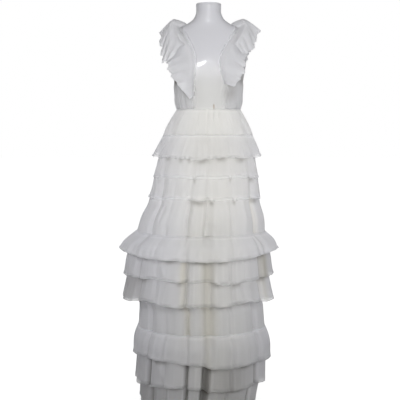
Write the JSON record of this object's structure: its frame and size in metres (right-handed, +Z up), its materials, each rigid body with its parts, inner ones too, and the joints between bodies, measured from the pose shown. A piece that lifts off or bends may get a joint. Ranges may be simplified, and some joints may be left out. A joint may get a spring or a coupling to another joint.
{
  "type": "wedding dress on a dress form",
  "caption": "Floor-length white tiered organza wedding dress with a plunging V neckline and ruffled shoulders, on a glossy headless dress form with a pole and round base.",
  "frame": {"origin": "on the floor, at the centre of the underside of the stand's round base, under the pole", "axes": "+Z up, -Y out of the front of the dress, +X towards the wearer's left"},
  "size_m": [0.6355, 0.5682, 1.5943],
  "materials": {
    "white_organza": "sheer white organza with a soft sheen",
    "ivory_slip": "smooth ivory lining cloth",
    "nude_ribbon": "narrow beige ribbon",
    "pale_gloss": "glossy pale lavender-grey",
    "black_metal": "satin black paint"
  },
  "bodies": {
    "root": {"bodice_front_left": "white_organza", "bodice_front_right": "white_organza", "bodice_back_left": "white_organza", "bodice_back_right": "white_organza", "ruffle_under_left": "white_organza", "ruffle_under_right": "white_organza", "ruffle_upper_left": "white_organza", "ruffle_upper_right": "white_organza", "skirt_yoke": "white_organza", "flounce_hip": "white_organza", "tier_hip": "white_organza", "tier_thigh": "white_organza", "panel_thigh": "white_organza", "tier_knee_upper": "white_organza", "flounce_knee": "white_organza", "tier_knee_lower": "white_organza", "panel_calf": "white_organza", "flounce_calf": "white_organza", "tier_hem_upper": "white_organza", "tier_hem_lower": "white_organza", "slip_skirt": "ivory_slip", "waist_loop": "nude_ribbon", "dress_form": "pale_gloss", "neck_cap": "pale_gloss", "stand_flange": "black_metal", "stand_pole": "black_metal", "stand_base": "black_metal"}
  },
  "joints": []
}
